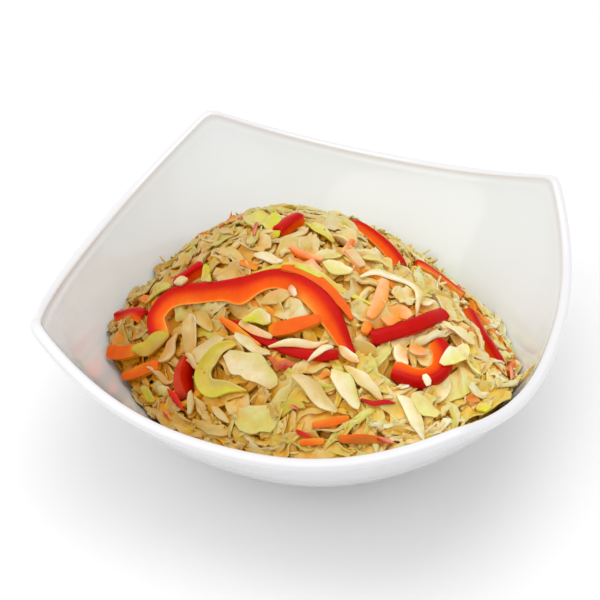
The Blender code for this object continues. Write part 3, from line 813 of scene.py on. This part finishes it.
def leaf_tints(rng, n, m, rib, leaf, light, rib_side=None, pale_edge=0.0, root_gold=0.0, ripple=0.0):
    """Colour across a shred, from its pale rib to its leaf, with paler cut edges."""
    t = np.linspace(0, 1, m)[None, :, None]
    if (rng.random() < 0.5) if rib_side is None else rib_side:
        t = 1 - t
    s = np.linspace(0, 1, n)[:, None, None]
    share = t ** rng.uniform(0.6, 1.8) + 0.25 * np.sin(s * rng.uniform(2, 7) + rng.uniform(0, 6))
    share = np.clip(share, 0, 1)
    tints = np.array(rib) * (1 - share) + np.array(leaf) * share
    root = np.clip(1 - (s if rng.random() < 0.5 else 1 - s) / rng.uniform(0.2, 0.6), 0, 1) * root_gold
    tints = tints * (1 - root) + np.array(GOLD) * root
    fold = 0.5 + 0.5 * np.sin(s * rng.uniform(2, 9) + t * rng.uniform(3, 7) + rng.uniform(0, 6))
    tints = tints * (1 - fold * ripple) + np.array(GOLD) * fold * ripple
    edge = np.clip(np.abs(2 * t - 1) ** 6 + np.abs(2 * s - 1) ** 10, 0, 1) * pale_edge
    tints = tints * (1 - edge) + np.array(WHITE) * edge
    return np.clip(tints * light, 0.01, 1)


def shade_valleys(tints, sheet):
    """Painted shade: folds that dip are more golden than the ridges beside them."""
    z = sheet[..., 2]
    low = np.clip((z.mean() - z) / (0.8 * MM), 0, 1)[..., None] * 0.4
    return tints * (1 - low) + np.array(GOLD) * low


def choose_site(pile, rng, sites, tries):
    """The lowest place against the salad's outline among a few random ones."""
    picks = rng.integers(0, len(sites[0]), tries)
    i, j = sites[0][picks], sites[1][picks]
    need = pile.aim[i, j] - pile.level[i, j]
    best = int(np.argmax(need))
    return pile.x[i[best]], pile.y[j[best]], need[best]


def cabbage_colours(rng, depth):
    """Kind, rib and leaf colours and lightness of a shred, more golden in the lower layers: dressing and painted
    shade.
    """
    roll = rng.random()
    light = rng.uniform(0.9, 1.06)
    deep = 0.7 * max(0.0, 1 - 1.2 * depth)
    if roll < GREEN_UP_TO:
        kind, rib, leaf = "green", mix(PALE_LIME, WHITE, rng.random()), mix(PALE_LIME, LIME, rng.random())
    elif roll < WHITE_UP_TO:
        kind, rib, leaf = "white", mix(WHITE, CREAM, 0.3 * rng.random()), mix(WHITE, CREAM, rng.random())
    else:
        kind, rib = "cream", mix(CREAM, WHITE, rng.random())
        leaf = mix(CREAM, STRAW, rng.random())
    return kind, mix(rib, GOLD, deep), mix(leaf, GOLD, deep), light


def settle(pile, kind, sheet, x, y, heading, tip, thick, tints, square=False):
    """Lay a shred if it stays in the bowl, under the strips and near the salad's outline."""
    placed = lay(pile, sheet, x, y, heading, tip, thick)
    top = placed[..., 2] + 0.5 * thick
    aim = pile.at(pile.aim, placed)
    guard = pile.at(pile.guard, placed)
    astray = np.mean(aim < 0) > OUTSIDE_MOST or np.any(pile.at(pile.wall, placed) == OUTSIDE)
    too_high = top.max() > HIGHEST or np.quantile(top - aim, 0.9) > OVER_MOST
    if astray or too_high or np.any((guard > 0) & (top > guard - UNDER_STRIPS)):
        return
    kind.add(placed, thick, tints, square)
    pile.raise_to(pile.level, placed + (0, 0, 0.5 * thick))


def fill_edge(pile, kinds, rng, budget):
    """Small shreds in the gap that larger ones leave along the bowl's wall."""
    border = np.nonzero(pile.edge)
    for _ in range(budget):
        x, y, need = choose_site(pile, rng, border, 14)
        if need < WALL_ENOUGH:
            continue
        kind, rib, leaf, light = cabbage_colours(rng, 1.0)
        n, m = 9, 5
        sheet = flake_sheet(rng, rng.uniform(*WALL_LENGTH) * MM, rng.uniform(*WALL_WIDTH) * MM, n, m)
        tints = leaf_tints(rng, n, m, rib, leaf, light, pale_edge=0.12, root_gold=0.3, ripple=0.1)
        heading = math.atan2(y, x) + math.pi / 2 + rng.normal(0, WALL_WANDER)
        tip = rng.normal(0, 0.1)
        thick = rng.uniform(*WALL_THICK) * MM
        settle(pile, kinds[kind], sheet, x, y, heading, tip, thick, tints)


def pour_shreds(pile, kinds, rng, budget):
    """Lay shreds one by one until the pile reaches the salad's outline, its edge as well as its middle."""
    middle = np.nonzero(pile.within)
    border = np.nonzero(pile.edge)
    for count in range(budget):
        depth = min(1.0, count / (0.6 * budget))
        at_edge = rng.random() < AT_EDGE
        x, y, need = choose_site(pile, rng, border if at_edge else middle, 10)
        if need < ENOUGH:
            continue
        small = rng.random() < (SMALL_AT_EDGE if at_edge else SMALL_INSIDE) + SMALL_ON_TOP * (need < 1.0 * MM)
        if small:
            sizes = SMALL_LENGTH, SMALL_WIDTH
        else:
            sizes = (STRIP_LENGTH, STRIP_WIDTH) if rng.random() < STRIPS else (LEAF_LENGTH, LEAF_WIDTH)
        length, width = rng.uniform(*sizes[0]) * MM, rng.uniform(*sizes[1]) * MM
        thick = rng.uniform(*(LEAF_THICK if sizes[1] == LEAF_WIDTH else STRIP_THICK)) * MM
        n, m = (8, 5) if small else (15, 7)
        roll = rng.random()
        square = roll < CARROTS_UP_TO
        if square:
            sheet = flake_sheet(rng, length * 0.8, rng.uniform(*CARROT_WIDTH) * MM, n, m, True)
            sheet[..., 2] *= 0.4
            thick = rng.uniform(*CARROT_THICK) * MM
            near = mix(CARROT, CARROT_PALE, rng.random())
            far = mix(near, SALMON, 0.5 * rng.random())
            tints = leaf_tints(rng, n, m, near, far, rng.uniform(0.85, 1.0))
            kind = "carrot"
        elif roll < RED_UP_TO:
            sheet = flake_sheet(rng, length * 0.6, width * 0.5, n, m)
            tints = leaf_tints(rng, n, m, ROSE, mix(PINK, ROSE, rng.random()), rng.uniform(0.8, 1.05))
            kind = "red"
        else:
            kind, rib, leaf, light = cabbage_colours(rng, depth)
            sheet = flake_sheet(rng, length, width, n, m)
            tints = leaf_tints(rng, n, m, rib, leaf, light, pale_edge=0.12, root_gold=0.4, ripple=0.15)
            # Painted shade in the folds that dip
            tints = shade_valleys(tints, sheet)
        heading = rng.uniform(0, 2 * math.pi)
        if at_edge:
            heading = math.atan2(y, x) + math.pi / 2 + rng.normal(0, EDGE_WANDER)
        tip = rng.normal(0, 0.1) if rng.random() < 0.7 else rng.uniform(-0.35, 0.1)
        settle(pile, kinds[kind], sheet, x, y, heading, tip, thick, tints, square)


def drape(pile, rng, route, widths, thick, m, trough, folds, stick):
    """A leaf, or a stiffer and blunter stick, laid along a route in plan over everything below it."""
    stiff, sink, blunt = STICK_LIE if stick else LEAF_LIE
    plan = curve_through([np.array(p) * MM for p in route], 1.0 * MM)
    n = len(plan)
    field = np.maximum(pile.level, pile.guard)
    i, j = pile.cell(plan[:, 0], plan[:, 1])
    reach = int(4 * stiff) + 1
    kernel = np.exp(-0.5 * (np.arange(-reach, reach + 1) / stiff) ** 2)
    kernel /= kernel.sum()

    def soften(values):
        return np.convolve(np.pad(values, reach, "edge"), kernel, "valid")

    centre = np.column_stack([plan, soften(field[i, j])])
    ahead = unit(np.gradient(centre, axis=0))
    up = unit(np.column_stack([-soften(pile.slope[0][i, j]), -soften(pile.slope[1][i, j]), np.ones(n)]))
    left = unit(np.cross(up, ahead))
    up = np.cross(ahead, left)
    s = np.linspace(0, 1, n)
    half = 0.5 * MM * np.interp(s, np.linspace(0, 1, len(widths)), widths)[:, None]
    end = 0.7 if stick else rng.uniform(0.2, 0.6)
    half = half * (1 - (1 - end) * np.abs(2 * s - 1) ** blunt)[:, None]
    t = np.linspace(-1, 1, m)[None, :]
    height = trough * half * t * t
    if folds:
        height = height + crumple(rng, s[:, None] * len(plan) * MM + 0 * t, half * t, 1.6 * folds * MM)
        half = half * (1 + 0.12 * np.sin(s[:, None] * rng.uniform(6, 16) + rng.uniform(0, 6) + 1.5 * t))
    rise = (height + 0 * t)[..., None]
    sheet = centre[:, None] + left[:, None] * (half * t)[..., None] + up[:, None] * rise
    if folds:
        sheet += ahead[:, None] * (half * t * rng.uniform(-0.7, 0.7))[..., None]
    for _ in range(2):
        gap = pile.at(field, sheet) - (sheet[..., 2] - 0.5 * thick)
        sheet[..., 2] += soften(np.quantile(gap, 1 - sink, axis=1))[:, None]
    wall_gap = pile.at(pile.wall, sheet) + SHOWN_FILM - (sheet[..., 2] - 0.5 * thick)
    sheet[..., 2] += np.clip(wall_gap, 0, None).max()
    sheet[..., 2] -= max(0.0, sheet[..., 2].max() + 0.5 * thick - HIGHEST)
    return sheet


# Pieces in plain view. How a leaf and a stick lie: how stiff in points, how deep they sink, how blunt their ends
LEAF_LIE = (2.5, 0.12, 3)
STICK_LIE = (6, 0.4, 10)
ROOM = 0.7
SHOWN_GOLD = {"cream": 0.3, "green": 0.2, "white": 0.08}
# Route in mm, widths along it in mm, thickness in mm, colours
CARROTS_SHOWN = [
    ([(-58, -41), (-52, -42), (-44, -43)], (4.6, 4.4, 3.6), 2.4, (CARROT, CARROT)),
    ([(-50, -47), (-44, -47), (-36, -47)], (2.8, 3.8, 3.6), 2.4, (CARROT, CARROT)),
    ([(-1, -38), (6, -37), (14, -33)], (4.6, 4.8, 3.0), 2.2, (CARROT, CARROT)),
    ([(-3, -22), (5, -20.5), (13, -23), (19, -26), (23, -29)], (2.0, 3.4, 3.6, 3.0, 1.6), 1.8, (CARROT, CARROT)),
    ([(-18, -37), (-13, -39), (-6, -42), (-2, -43.5)], (1.6, 2.8, 2.4, 1.2), 1.6, (CARROT, CARROT_PALE)),
    ([(-11, -38), (-5, -40), (1, -41)], (2.0, 2.6, 1.6), 1.2, (SALMON, CREAM)),
    ([(-18, -20), (-12, -20)], (1.8, 2.4), 1.4, (CARROT_PALE, CARROT)),
    ([(-4, -11), (1, -13), (8, -14)], (2.4, 2.8, 2.2), 1.5, (CARROT, SALMON)),
    ([(21, -60), (26, -58), (31, -55)], (2.0, 2.8, 2.0), 1.6, (CARROT, CARROT_PALE)),
    ([(30, -61), (36, -59), (43, -57)], (2.4, 3.0, 1.8), 1.5, (RUST, CARROT)),
    ([(19, -65), (26, -63)], (2.0, 2.2), 1.4, (CARROT, CARROT_PALE)),
    ([(13, -8), (12, 4)], (2.2, 2.2), 1.5, (CARROT, SALMON)),
    ([(28, -12), (29, -20), (28, -27)], (3.2, 4.6, 3.0), 1.6, (SALMON, CARROT_PALE)),
    ([(32, -25), (35, -19), (39, -20)], (5.0, 6.6, 4.0), 1.6, (CARROT_PALE, SALMON)),
    ([(28, -32), (28, -28)], (3.0, 3.0), 1.8, (CARROT, CARROT_PALE)),
    ([(14, -6), (20, -10)], (4.6, 3.4), 1.6, (SALMON, CREAM)),
    ([(42, -30), (45, -29), (47, -28)], (2.6, 3.2, 2.2), 1.4, (SALMON, CARROT_PALE)),
]
# Kind, route in mm, widths along it in mm, thickness in mm, trough, folds, colours
LEAVES_SHOWN = [
    ("cream", [(-50, -10), (-45, -12), (-40, -14)], (4.0, 6.0, 5.0), 1.0, 0.2, 0.5, (STRAW, CREAM)),
    ("green", [(-51, -24), (-46, -24), (-41, -25)], (3.0, 4.4, 2.6), 1.1, 0.3, 0.3, (FRESH_GREEN, SOFT_GREEN)),
    ("green", [(-32, -17), (-29, -22), (-26, -26)], (2.6, 4.0, 2.4), 1.1, 0.3, 0.3, (SOFT_GREEN, FRESH_GREEN)),
    ("green", [(-47, -44), (-42, -42), (-36, -38.5)], (3.6, 6.4, 4.0), 2.2, 0, 0.2, (STRAW, FRESH_GREEN)),
    ("cream", [(-33, -39), (-34, -43), (-36, -47)], (3.0, 4.6, 3.0), 1.2, 0.2, 0.5, (SALMON, PURE)),
    ("cream", [(-31, -33), (-28, -38), (-26, -42), (-25, -47)], (3.2, 5.4, 5.0, 3.0), 1.0, 0.5, 0.5, (CREAM, PURE)),
    ("cream", [(-29, -33), (-25, -36), (-20, -40)], (3.0, 4.6, 2.4), 1.0, 0.5, 0.4, (CREAM, STRAW)),
    ("cream", [(-6, -32), (-2, -30), (3, -28)], (3.0, 4.4, 3.0), 1.1, 0.3, 0.4, (CREAM, SALMON)),
    ("cream", [(-13, -34), (-8, -34), (-3, -35)], (3.0, 4.4, 2.4), 1.1, 0.3, 0.4, (STRAW, CREAM)),
    ("white", [(-25, -48), (-21, -45), (-16, -42)], (3.6, 5.8, 4.2), 1.1, 0.2, 0.4, (PURE, CREAM)),
    ("green", [(-9, -43), (-14, -45), (-16.5, -49), (-16.5, -52.5), (-13, -55), (-7, -55.5), (-2, -55.5)],
     (2.4, 4.6, 6.0, 6.4, 5.0, 3.6, 1.6), 1.2, 0.5, 0.4, (FRESH_GREEN, SOFT_GREEN)),
    ("white", [(-12, -47), (-3, -50), (6, -53)], (7.0, 8.6, 7.4), 1.3, 0.15, 0.5, (PURE, SOFT_GREEN)),
    ("white", [(-11, -42), (-4, -44.5), (2, -45)], (2.6, 3.4, 2.4), 1.2, 0.2, 0.2, (PURE, CREAM)),
    ("green", [(-10, -38), (-6, -36), (-1, -37)], (3.4, 5.0, 3.4), 1.4, 0.4, 0.4, (FRESH_GREEN, PURE)),
    ("green", [(-15, -22), (-7, -20), (5, -19.5), (13, -20), (21, -21), (29, -23)],
     (1.4, 2.4, 2.4, 2.2, 1.8, 0.7), 0.9, 0.2, 0.2, (FRESH_GREEN, SOFT_GREEN)),
    ("white", [(-15, -15), (-8, -17), (-4, -19)], (2.4, 3.4, 2.0), 1.1, 0.2, 0.3, (PURE, PURE)),
    ("white", [(-3, -14), (2, -17), (9, -17)], (3.6, 4.8, 3.0), 1.1, 0.3, 0.3, (PURE, PINK)),
    ("green", [(-30, 14), (-19, 4), (-11, -6)], (6.0, 9.0, 6.0), 1.0, 0.2, 0.9, (SOFT_GREEN, FRESH_GREEN)),
    ("green", [(-5, 6), (1, 2), (7, 0)], (4.0, 5.6, 4.0), 1.0, 0.4, 0.7, (FRESH_GREEN, SOFT_GREEN)),
    ("white", [(9, -14), (13, -15.5), (18, -16)], (4.0, 5.4, 3.6), 1.1, 0.3, 0.4, (SOFT_GREEN, PURE)),
    ("green", [(18, -5), (22, -3), (26, 0)], (3.0, 4.4, 3.0), 1.0, 0.3, 0.4, (SOFT_GREEN, CREAM)),
    ("white", [(21, -15), (27, -8.5), (33, -5.5), (38, -8), (40, -15)], (1.4, 2.8, 3.2, 3.0, 1.6), 1.3, 0.3, 0.2,
     (PURE, CREAM)),
    ("white", [(1, -44), (5, -42), (12, -40), (18, -37)], (1.4, 2.6, 2.8, 1.6), 1.1, 0.2, 0.2, (SALMON, PURE)),
    ("white", [(14, -44), (17, -41), (20, -38)], (1.2, 2.2, 1.6), 1.1, 0.2, 0.1, (PURE, PURE)),
    ("white", [(22, -38), (25, -39), (29, -40)], (2.2, 3.2, 2.0), 1.1, 0.2, 0.3, (SALMON, PURE)),
    ("cream", [(11, -50), (18, -52), (27, -55)], (2.4, 5.0, 3.0), 1.1, 0.4, 0.3, (PURE, CREAM)),
    ("white", [(22, -46), (27, -48), (33, -51)], (4.0, 6.4, 3.6), 1.2, 0.3, 0.4, (PURE, SOFT_GREEN)),
    ("cream", [(25, -42), (32, -45), (39, -47)], (2.4, 4.0, 2.4), 1.1, 0.3, 0.4, (CREAM, PURE)),
    ("white", [(38, -31), (40, -33), (43, -35)], (3.0, 4.4, 2.6), 1.1, 0.2, 0.4, (PURE, SALMON)),
    ("white", [(43, -45), (48, -47), (51, -50), (54, -53)], (2.6, 4.6, 4.2, 2.2), 1.2, 0.2, 0.4, (PURE, CREAM)),
    ("green", [(47, -44), (51, -45), (56, -44)], (4.0, 5.4, 3.6), 1.0, 0.3, 0.6, (SOFT_GREEN, CREAM)),
    ("green", [(53, -32), (56, -26), (57, -19)], (4.0, 6.4, 4.4), 1.0, 0.2, 0.7, (SOFT_GREEN, PURE)),
    ("cream", [(50, -16), (54, -16), (59, -15)], (3.6, 5.0, 3.4), 1.0, 0.2, 0.6, (PURE, CREAM)),
    ("green", [(66, -38), (70, -36)], (2.6, 3.0), 1.2, 0.2, 0.4, (FRESH_GREEN, STRAW)),
    ("green", [(-41, -51), (-38, -53), (-34, -56)], (2.4, 3.2, 2.0), 1.1, 0.3, 0.3, (FRESH_GREEN, SOFT_GREEN)),
    ("white", [(-29, -44), (-23, -48), (-19, -51)], (1.0, 1.8, 1.2), 1.1, 0.1, 0.2, (SALMON, PURE)),
    ("white", [(-40, -48), (-35, -49), (-29, -52)], (1.0, 2.0, 1.4), 1.1, 0.1, 0.2, (PURE, SALMON)),
    ("white", [(-21, -56), (-19, -61)], (2.4, 2.6), 1.4, 0.1, 0.2, (PURE, CREAM)),
    ("cream", [(-12, -59), (-5, -63)], (2.6, 2.0), 1.2, 0.2, 0.3, (PURE, CREAM)),
    ("white", [(-39, -26), (-37, -25), (-35, -24)], (2.4, 3.6, 2.4), 2.2, 0, 0, (PURE, PURE)),
    ("white", [(2, -26), (4, -30)], (2.2, 2.6), 1.2, 0, 0.1, (PINK, PURE)),
    ("white", [(49, -37), (51, -39)], (2.2, 2.4), 1.2, 0, 0.1, (PURE, PURE)),
    ("red", [(-30, -54), (-26, -57), (-22, -60)], (1.2, 2.4, 1.0), 1.2, 0, 0.1, (ROSE, FLESH_RED)),
    ("red", [(-30, -58), (-26, -61)], (1.2, 1.4), 1.0, 0, 0.1, (ROSE, PINK)),
    ("red", [(41, -58), (46, -57)], (1.4, 1.2), 1.0, 0, 0.1, (ROSE, PINK)),
    ("red", [(17, -63), (22, -63)], (1.6, 1.4), 1.0, 0, 0.1, (FLESH_RED, ROSE)),
    ("red", [(13, -58), (16, -58)], (1.0, 1.2), 1.0, 0, 0.1, (PINK, ROSE)),
    ("red", [(33, -50), (38, -49), (43, -47)], (1.0, 1.8, 1.0), 1.0, 0, 0.1, (ROSE, SKIN_RED)),
    ("red", [(-21, 2), (-18, -8)], (1.4, 1.2), 1.0, 0, 0.1, (ROSE, PINK)),
    ("red", [(-33, 13), (-29, 8)], (1.4, 1.2), 1.0, 0, 0.1, (PINK, ROSE)),
    ("red", [(71, -12), (73, -20)], (1.4, 1.2), 1.0, 0, 0.1, (PINK, ROSE)),
]
SHOWN = [("carrot", *shape, 0, 0, colours) for *shape, colours in CARROTS_SHOWN] + LEAVES_SHOWN


def leave_room(pile):
    """Lower the salad's outline under each piece in plain view by most of the piece's thickness."""
    for _, route, widths, thick, *_ in SHOWN:
        plan = curve_through([np.array(p) * MM for p in route], 0.5 * MM)
        reach = 0.5 * MM * max(widths)
        for x, y in plan:
            near = np.hypot(pile.gx - x, pile.gy - y) < reach
            pile.aim[near] = np.minimum(pile.aim[near], pile.top[near] - ROOM * thick * MM)


def lay_shown(pile, kinds, rng):
    for kind, route, widths, thick, trough, folds, colours in SHOWN:
        m = 7 if max(widths) > 5 else 5
        stick = kind == "carrot"
        sheet = drape(pile, rng, route, widths, thick * MM, m, trough, folds, stick)
        gold = SHOWN_GOLD.get(kind, 0.0)
        tints = leaf_tints(rng, len(sheet), m, *colours, 1.0, False, 0.0, gold, gold)
        kinds[kind].add(sheet, thick * MM, tints, stick)
        pile.raise_to(pile.level, sheet + (0, 0, 0.5 * thick * MM))


# Stage
def make_stage():
    made, _, _, shader = new_material("pale_floor")
    shader.inputs["Base Color"].default_value = (FLOOR_TONE, FLOOR_TONE, FLOOR_TONE, 1)
    shader.inputs["Roughness"].default_value = FLOOR_ROUGHNESS
    corners = [(FLOOR_HALF * x, FLOOR_HALF * y, 0) for x, y in ((-1, -1), (1, -1), (1, 1), (-1, 1))]
    build("floor", corners, [(0, 1, 2, 3)], made)
    world = bpy.data.worlds.new("studio")
    bpy.context.scene.world = world
    world.use_nodes = True
    sky = world.node_tree.nodes["Background"]
    sky.inputs["Color"].default_value = (1, 1, 1, 1)
    sky.inputs["Strength"].default_value = WORLD_STRENGTH


def add_light(name, place, size, power):
    data = bpy.data.lights.new(name, "AREA")
    data.shape = "DISK"
    data.size = size
    data.energy = power
    made = bpy.data.objects.new(name, data)
    made.location = place
    made.rotation_euler = (Vector(LIGHTS_AIM) - Vector(place)).to_track_quat("-Z", "Y").to_euler()
    bpy.context.scene.collection.objects.link(made)


def make_camera():
    """The photograph's view, aimed at the middle of the bowl at the height of its rim."""
    level = math.cos(ELEVATION)
    back = Vector((math.sin(AZIMUTH) * level, -math.cos(AZIMUTH) * level, math.sin(ELEVATION)))
    right = Vector((math.cos(AZIMUTH), math.sin(AZIMUTH), 0))
    up = back.cross(right)
    data = bpy.data.cameras.new("camera")
    data.lens = LENS
    data.sensor_width = SENSOR
    data.shift_x, data.shift_y = SHIFT
    data.clip_start = 0.01
    made = bpy.data.objects.new("camera", data)
    turn = Matrix((right, up, back)).transposed().to_4x4()
    made.matrix_world = Matrix.Translation(Vector((0, 0, RIM_HEIGHT)) + back * DISTANCE) @ turn
    bpy.context.scene.collection.objects.link(made)
    bpy.context.scene.camera = made


def make_core(outline, finish):
    """The salad under the shreds: the heap's surface with relief, closed along the bowl's wall."""
    heap = Heap(outline, CORE_DROP + CORE_RELIEF)
    rings = [wall_ring(heap.rim, FLOOR_RADIUS - HEAP_GAP, FLOOR_HEIGHT + HEAP_LIFT, heap.share * k)
             for k in np.linspace(0, 0.94, CORE_WALL_RINGS)]
    for reach in np.linspace(1, 0.02, CORE_DOME_RINGS):
        plan = heap.peak[:2] + (heap.base[:, :2] - heap.peak[:2]) * reach
        rings.append(np.column_stack([plan, heap.height(plan[:, 0], plan[:, 1])[0]]))
    vertices = np.concatenate(rings)
    rough = np.random.default_rng(SEED + 1)
    dome = np.arange(len(vertices)) >= (CORE_WALL_RINGS + 1) * len(outline)
    vertices[:, 2] += np.where(dome, CORE_RELIEF * rough.normal(0, 1, len(vertices)), 0)
    light = (1 + 0.1 * rough.normal(0, 1, len(vertices)))[:, None].clip(0.8, 1.1)
    # Amber gold under the shreds, partly painted shade for the gaps between them
    tints = np.array(mix(AMBER_SHADE, GOLD, 0.5)) * light
    dress(build("salad_core", vertices, ring_faces(len(rings), len(outline)), finish, tints), "coleslaw")


def main():
    bpy.context.scene.view_settings.view_transform = "Standard"
    outline = rim_outline()
    make_bowl(outline, porcelain())
    rng = np.random.default_rng(SEED)
    pile = Pile(outline)
    pepper = vegetable("pepper_flesh", (0.93, 0.85, 0.85), rough=0.24, coat=0.04, scatter=0.12,
                       relief=0.05 * MM, gloss_level=0.06)
    for name, spec in PEPPERS.items():
        make_pepper(name, spec, pile, pepper, rng)
    cabbage = vegetable("cabbage_flesh", (0.98, 0.88, 0.60), rough=0.30, coat=0.12, scatter=0.4,
                        relief=0.2 * MM, gloss_level=0.16)
    carrot = vegetable("carrot_flesh", (0.94, 0.80, 0.8), rough=0.30, coat=0.02, scatter=0.12,
                       relief=0.12 * MM, gloss_level=0.06)
    kinds = {
        "cream": Kind("cabbage_cream", cabbage),
        "white": Kind("cabbage_white", cabbage),
        "green": Kind("cabbage_green", cabbage),
        "carrot": Kind("carrot_shreds", carrot),
        "red": Kind("red_bits", carrot),
    }
    make_core(outline, cabbage)
    leave_room(pile)
    pour_shreds(pile, kinds, rng, TRIED)
    fill_edge(pile, kinds, rng, EDGE_TRIED)
    lay_shown(pile, kinds, rng)
    for kind in kinds.values():
        kind.paint_light_and_shade(pile)
        kind.make()
    make_stage()
    for light in LIGHTS:
        add_light(*light)
    make_camera()


main()
